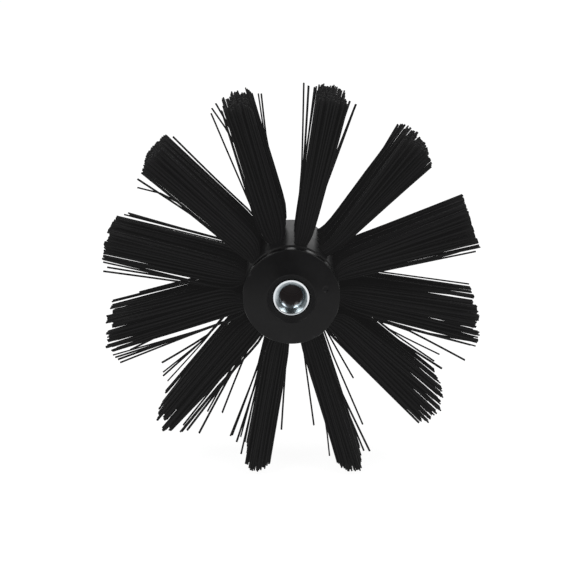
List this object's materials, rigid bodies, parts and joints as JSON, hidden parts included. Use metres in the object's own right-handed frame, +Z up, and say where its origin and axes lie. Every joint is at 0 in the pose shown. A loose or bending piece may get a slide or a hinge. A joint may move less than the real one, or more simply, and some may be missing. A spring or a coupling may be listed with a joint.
{
  "type": "chimney sweep brush",
  "caption": "Round chimney sweep brush head: black drum hub with radial columns of stiff nylon bristle tufts and a steel insert that screws onto a sweeping rod.",
  "frame": {"origin": "on the surface the head stands on, under the middle of the hub's length", "axes": "+Z up, Y along the hub's axis with the threaded mouth facing -Y, +X to the right as seen from the mouth's side"},
  "size_m": [0.1584, 0.0606, 0.1612],
  "materials": {
    "hub_plastic": "black moulded plastic, semi-gloss",
    "bristle_nylon": "black nylon bristle, satin",
    "zinc_plated_steel": "bright zinc plating, turned"
  },
  "bodies": {
    "root": {"hub_barrel": "hub_plastic", "front_end_plate": "hub_plastic", "rear_plug": "hub_plastic", "threaded_insert": "zinc_plated_steel", "tuft_01_1": "bristle_nylon", "tuft_01_2": "bristle_nylon", "tuft_01_3": "bristle_nylon", "tuft_01_4": "bristle_nylon", "tuft_02_1": "bristle_nylon", "tuft_02_2": "bristle_nylon", "tuft_02_3": "bristle_nylon", "tuft_02_4": "bristle_nylon", "tuft_03_1": "bristle_nylon", "tuft_03_2": "bristle_nylon", "tuft_03_3": "bristle_nylon", "tuft_03_4": "bristle_nylon", "tuft_04_1": "bristle_nylon", "tuft_04_2": "bristle_nylon", "tuft_04_3": "bristle_nylon", "tuft_04_4": "bristle_nylon", "tuft_05_1": "bristle_nylon", "tuft_05_2": "bristle_nylon", "tuft_05_3": "bristle_nylon", "tuft_05_4": "bristle_nylon", "tuft_06_1": "bristle_nylon", "tuft_06_2": "bristle_nylon", "tuft_06_3": "bristle_nylon", "tuft_06_4": "bristle_nylon", "tuft_07_1": "bristle_nylon", "tuft_07_2": "bristle_nylon", "tuft_07_3": "bristle_nylon", "tuft_07_4": "bristle_nylon", "tuft_08_1": "bristle_nylon", "tuft_08_2": "bristle_nylon", "tuft_08_3": "bristle_nylon", "tuft_08_4": "bristle_nylon", "tuft_09_1": "bristle_nylon", "tuft_09_2": "bristle_nylon", "tuft_09_3": "bristle_nylon", "tuft_09_4": "bristle_nylon", "tuft_10_1": "bristle_nylon", "tuft_10_2": "bristle_nylon", "tuft_10_3": "bristle_nylon", "tuft_10_4": "bristle_nylon", "tuft_11_1": "bristle_nylon", "tuft_11_2": "bristle_nylon", "tuft_11_3": "bristle_nylon", "tuft_11_4": "bristle_nylon", "tuft_12_1": "bristle_nylon", "tuft_12_2": "bristle_nylon", "tuft_12_3": "bristle_nylon", "tuft_12_4": "bristle_nylon"}
  },
  "joints": []
}
